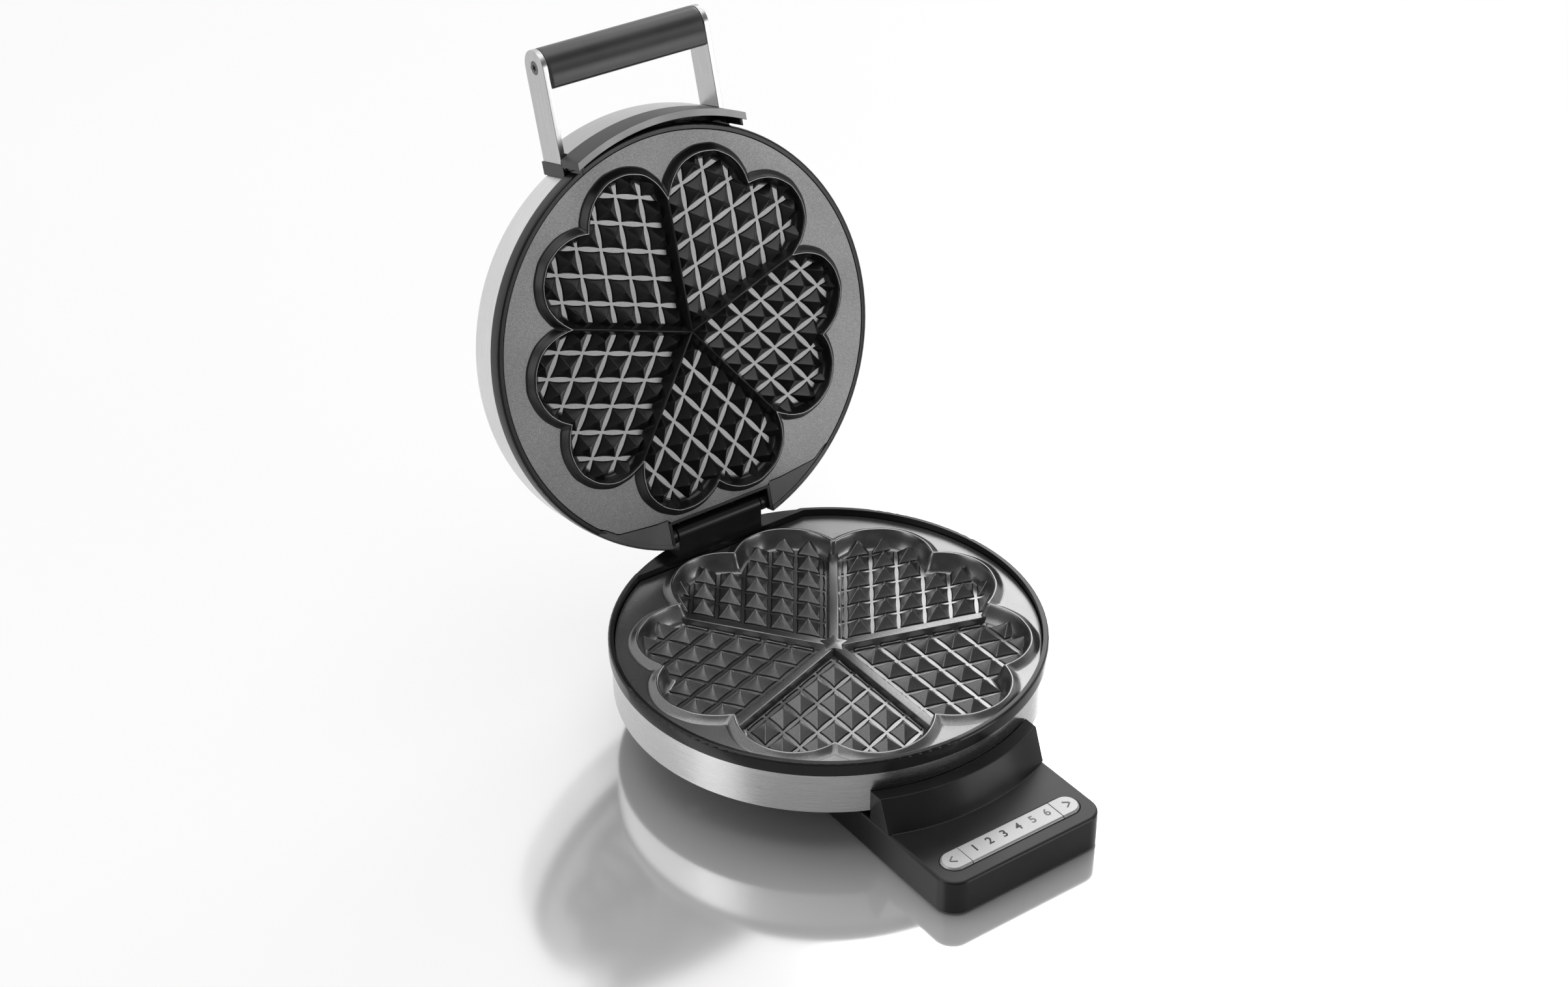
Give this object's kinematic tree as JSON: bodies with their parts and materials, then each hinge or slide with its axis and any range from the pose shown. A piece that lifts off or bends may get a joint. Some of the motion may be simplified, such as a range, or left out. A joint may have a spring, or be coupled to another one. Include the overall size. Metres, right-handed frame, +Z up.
{
  "type": "heart waffle maker",
  "caption": "Table-top heart-pattern waffle iron with a hinged steel lid, bar handle, non-stick hearts plates and a front key strip.",
  "frame": {"origin": "on the table, on the axis of the round housing", "axes": "+Z up, -Y towards the control panel and the user, +X to the user's right; the hinge is at +Y and the lid is open at rest"},
  "size_m": [0.23, 0.3594, 0.33],
  "materials": {
    "black_plastic": "satin moulded heat-resistant plastic",
    "grip_black": "satin moulded grip",
    "brushed_steel": "circumferentially brushed stainless sheet",
    "nonstick_plate": "cast, dark speckled non-stick coating",
    "bright_steel": "plated steel",
    "heater_steel": "dull heat-resistant steel sheath",
    "reflector_aluminium": "bright pressed sheet",
    "rubber": "matt",
    "key_silver": "silver pearl lacquer",
    "board_green": "solder mask",
    "component_grey": "moulded",
    "led_clear": "clear"
  },
  "bodies": {
    "base": {"base_tub": "black_plastic", "base_pedestal": "black_plastic", "pedestal_screws": "bright_steel", "bottom_cover": "black_plastic", "rubber_feet": "rubber", "cover_screws": "bright_steel", "base_band": "brushed_steel", "base_bezel": "black_plastic", "lower_plate": "nonstick_plate", "hinge_block": "black_plastic", "hinge_block_screws": "bright_steel", "hinge_pin": "bright_steel", "lower_heater": "heater_steel", "lower_reflector": "reflector_aluminium", "lower_spacers": "bright_steel", "lower_plate_screws": "bright_steel", "temperature_sensor": "component_grey", "lower_thermal_fuse": "component_grey", "control_board": "board_green", "status_leds": "led_clear", "tact_switches": "component_grey", "light_guide": "led_clear", "number_strip": "key_silver", "power_board": "board_green", "power_parts": "component_grey", "terminal_block": "component_grey", "cable_gland": "rubber"},
    "key_left": {"button_left": "key_silver"},
    "key_right": {"button_right": "key_silver"},
    "lid": {"lid_cover": "brushed_steel", "lid_bezel": "black_plastic", "lid_hinge_housing": "black_plastic", "upper_plate": "nonstick_plate", "upper_heater": "heater_steel", "upper_reflector": "reflector_aluminium", "lid_studs": "bright_steel", "upper_spacers": "bright_steel", "upper_plate_screws": "bright_steel", "upper_thermal_fuse": "component_grey", "handle_mount": "black_plastic", "crescent_trim": "brushed_steel", "handle_arm_right": "brushed_steel", "handle_arm_left": "brushed_steel", "handle_grip": "grip_black", "handle_screws": "bright_steel", "mount_screws": "bright_steel", "foot_screws": "bright_steel"}
  },
  "joints": [
    {"name": "lid_hinge", "type": "hinge", "parent": "base", "child": "lid", "pos_m": [0, 0.1045, 0.0698], "axis": [1, 0, 0], "range_deg": [0, 105.1]},
    {"name": "key_left_press", "type": "slide", "parent": "base", "child": "key_left", "axis": [0, 0, -1], "range_m": [0, 0.0008], "stiffness_N_per_m": 1500},
    {"name": "key_right_press", "type": "slide", "parent": "base", "child": "key_right", "axis": [0, 0, -1], "range_m": [0, 0.0008], "stiffness_N_per_m": 1500}
  ]
}
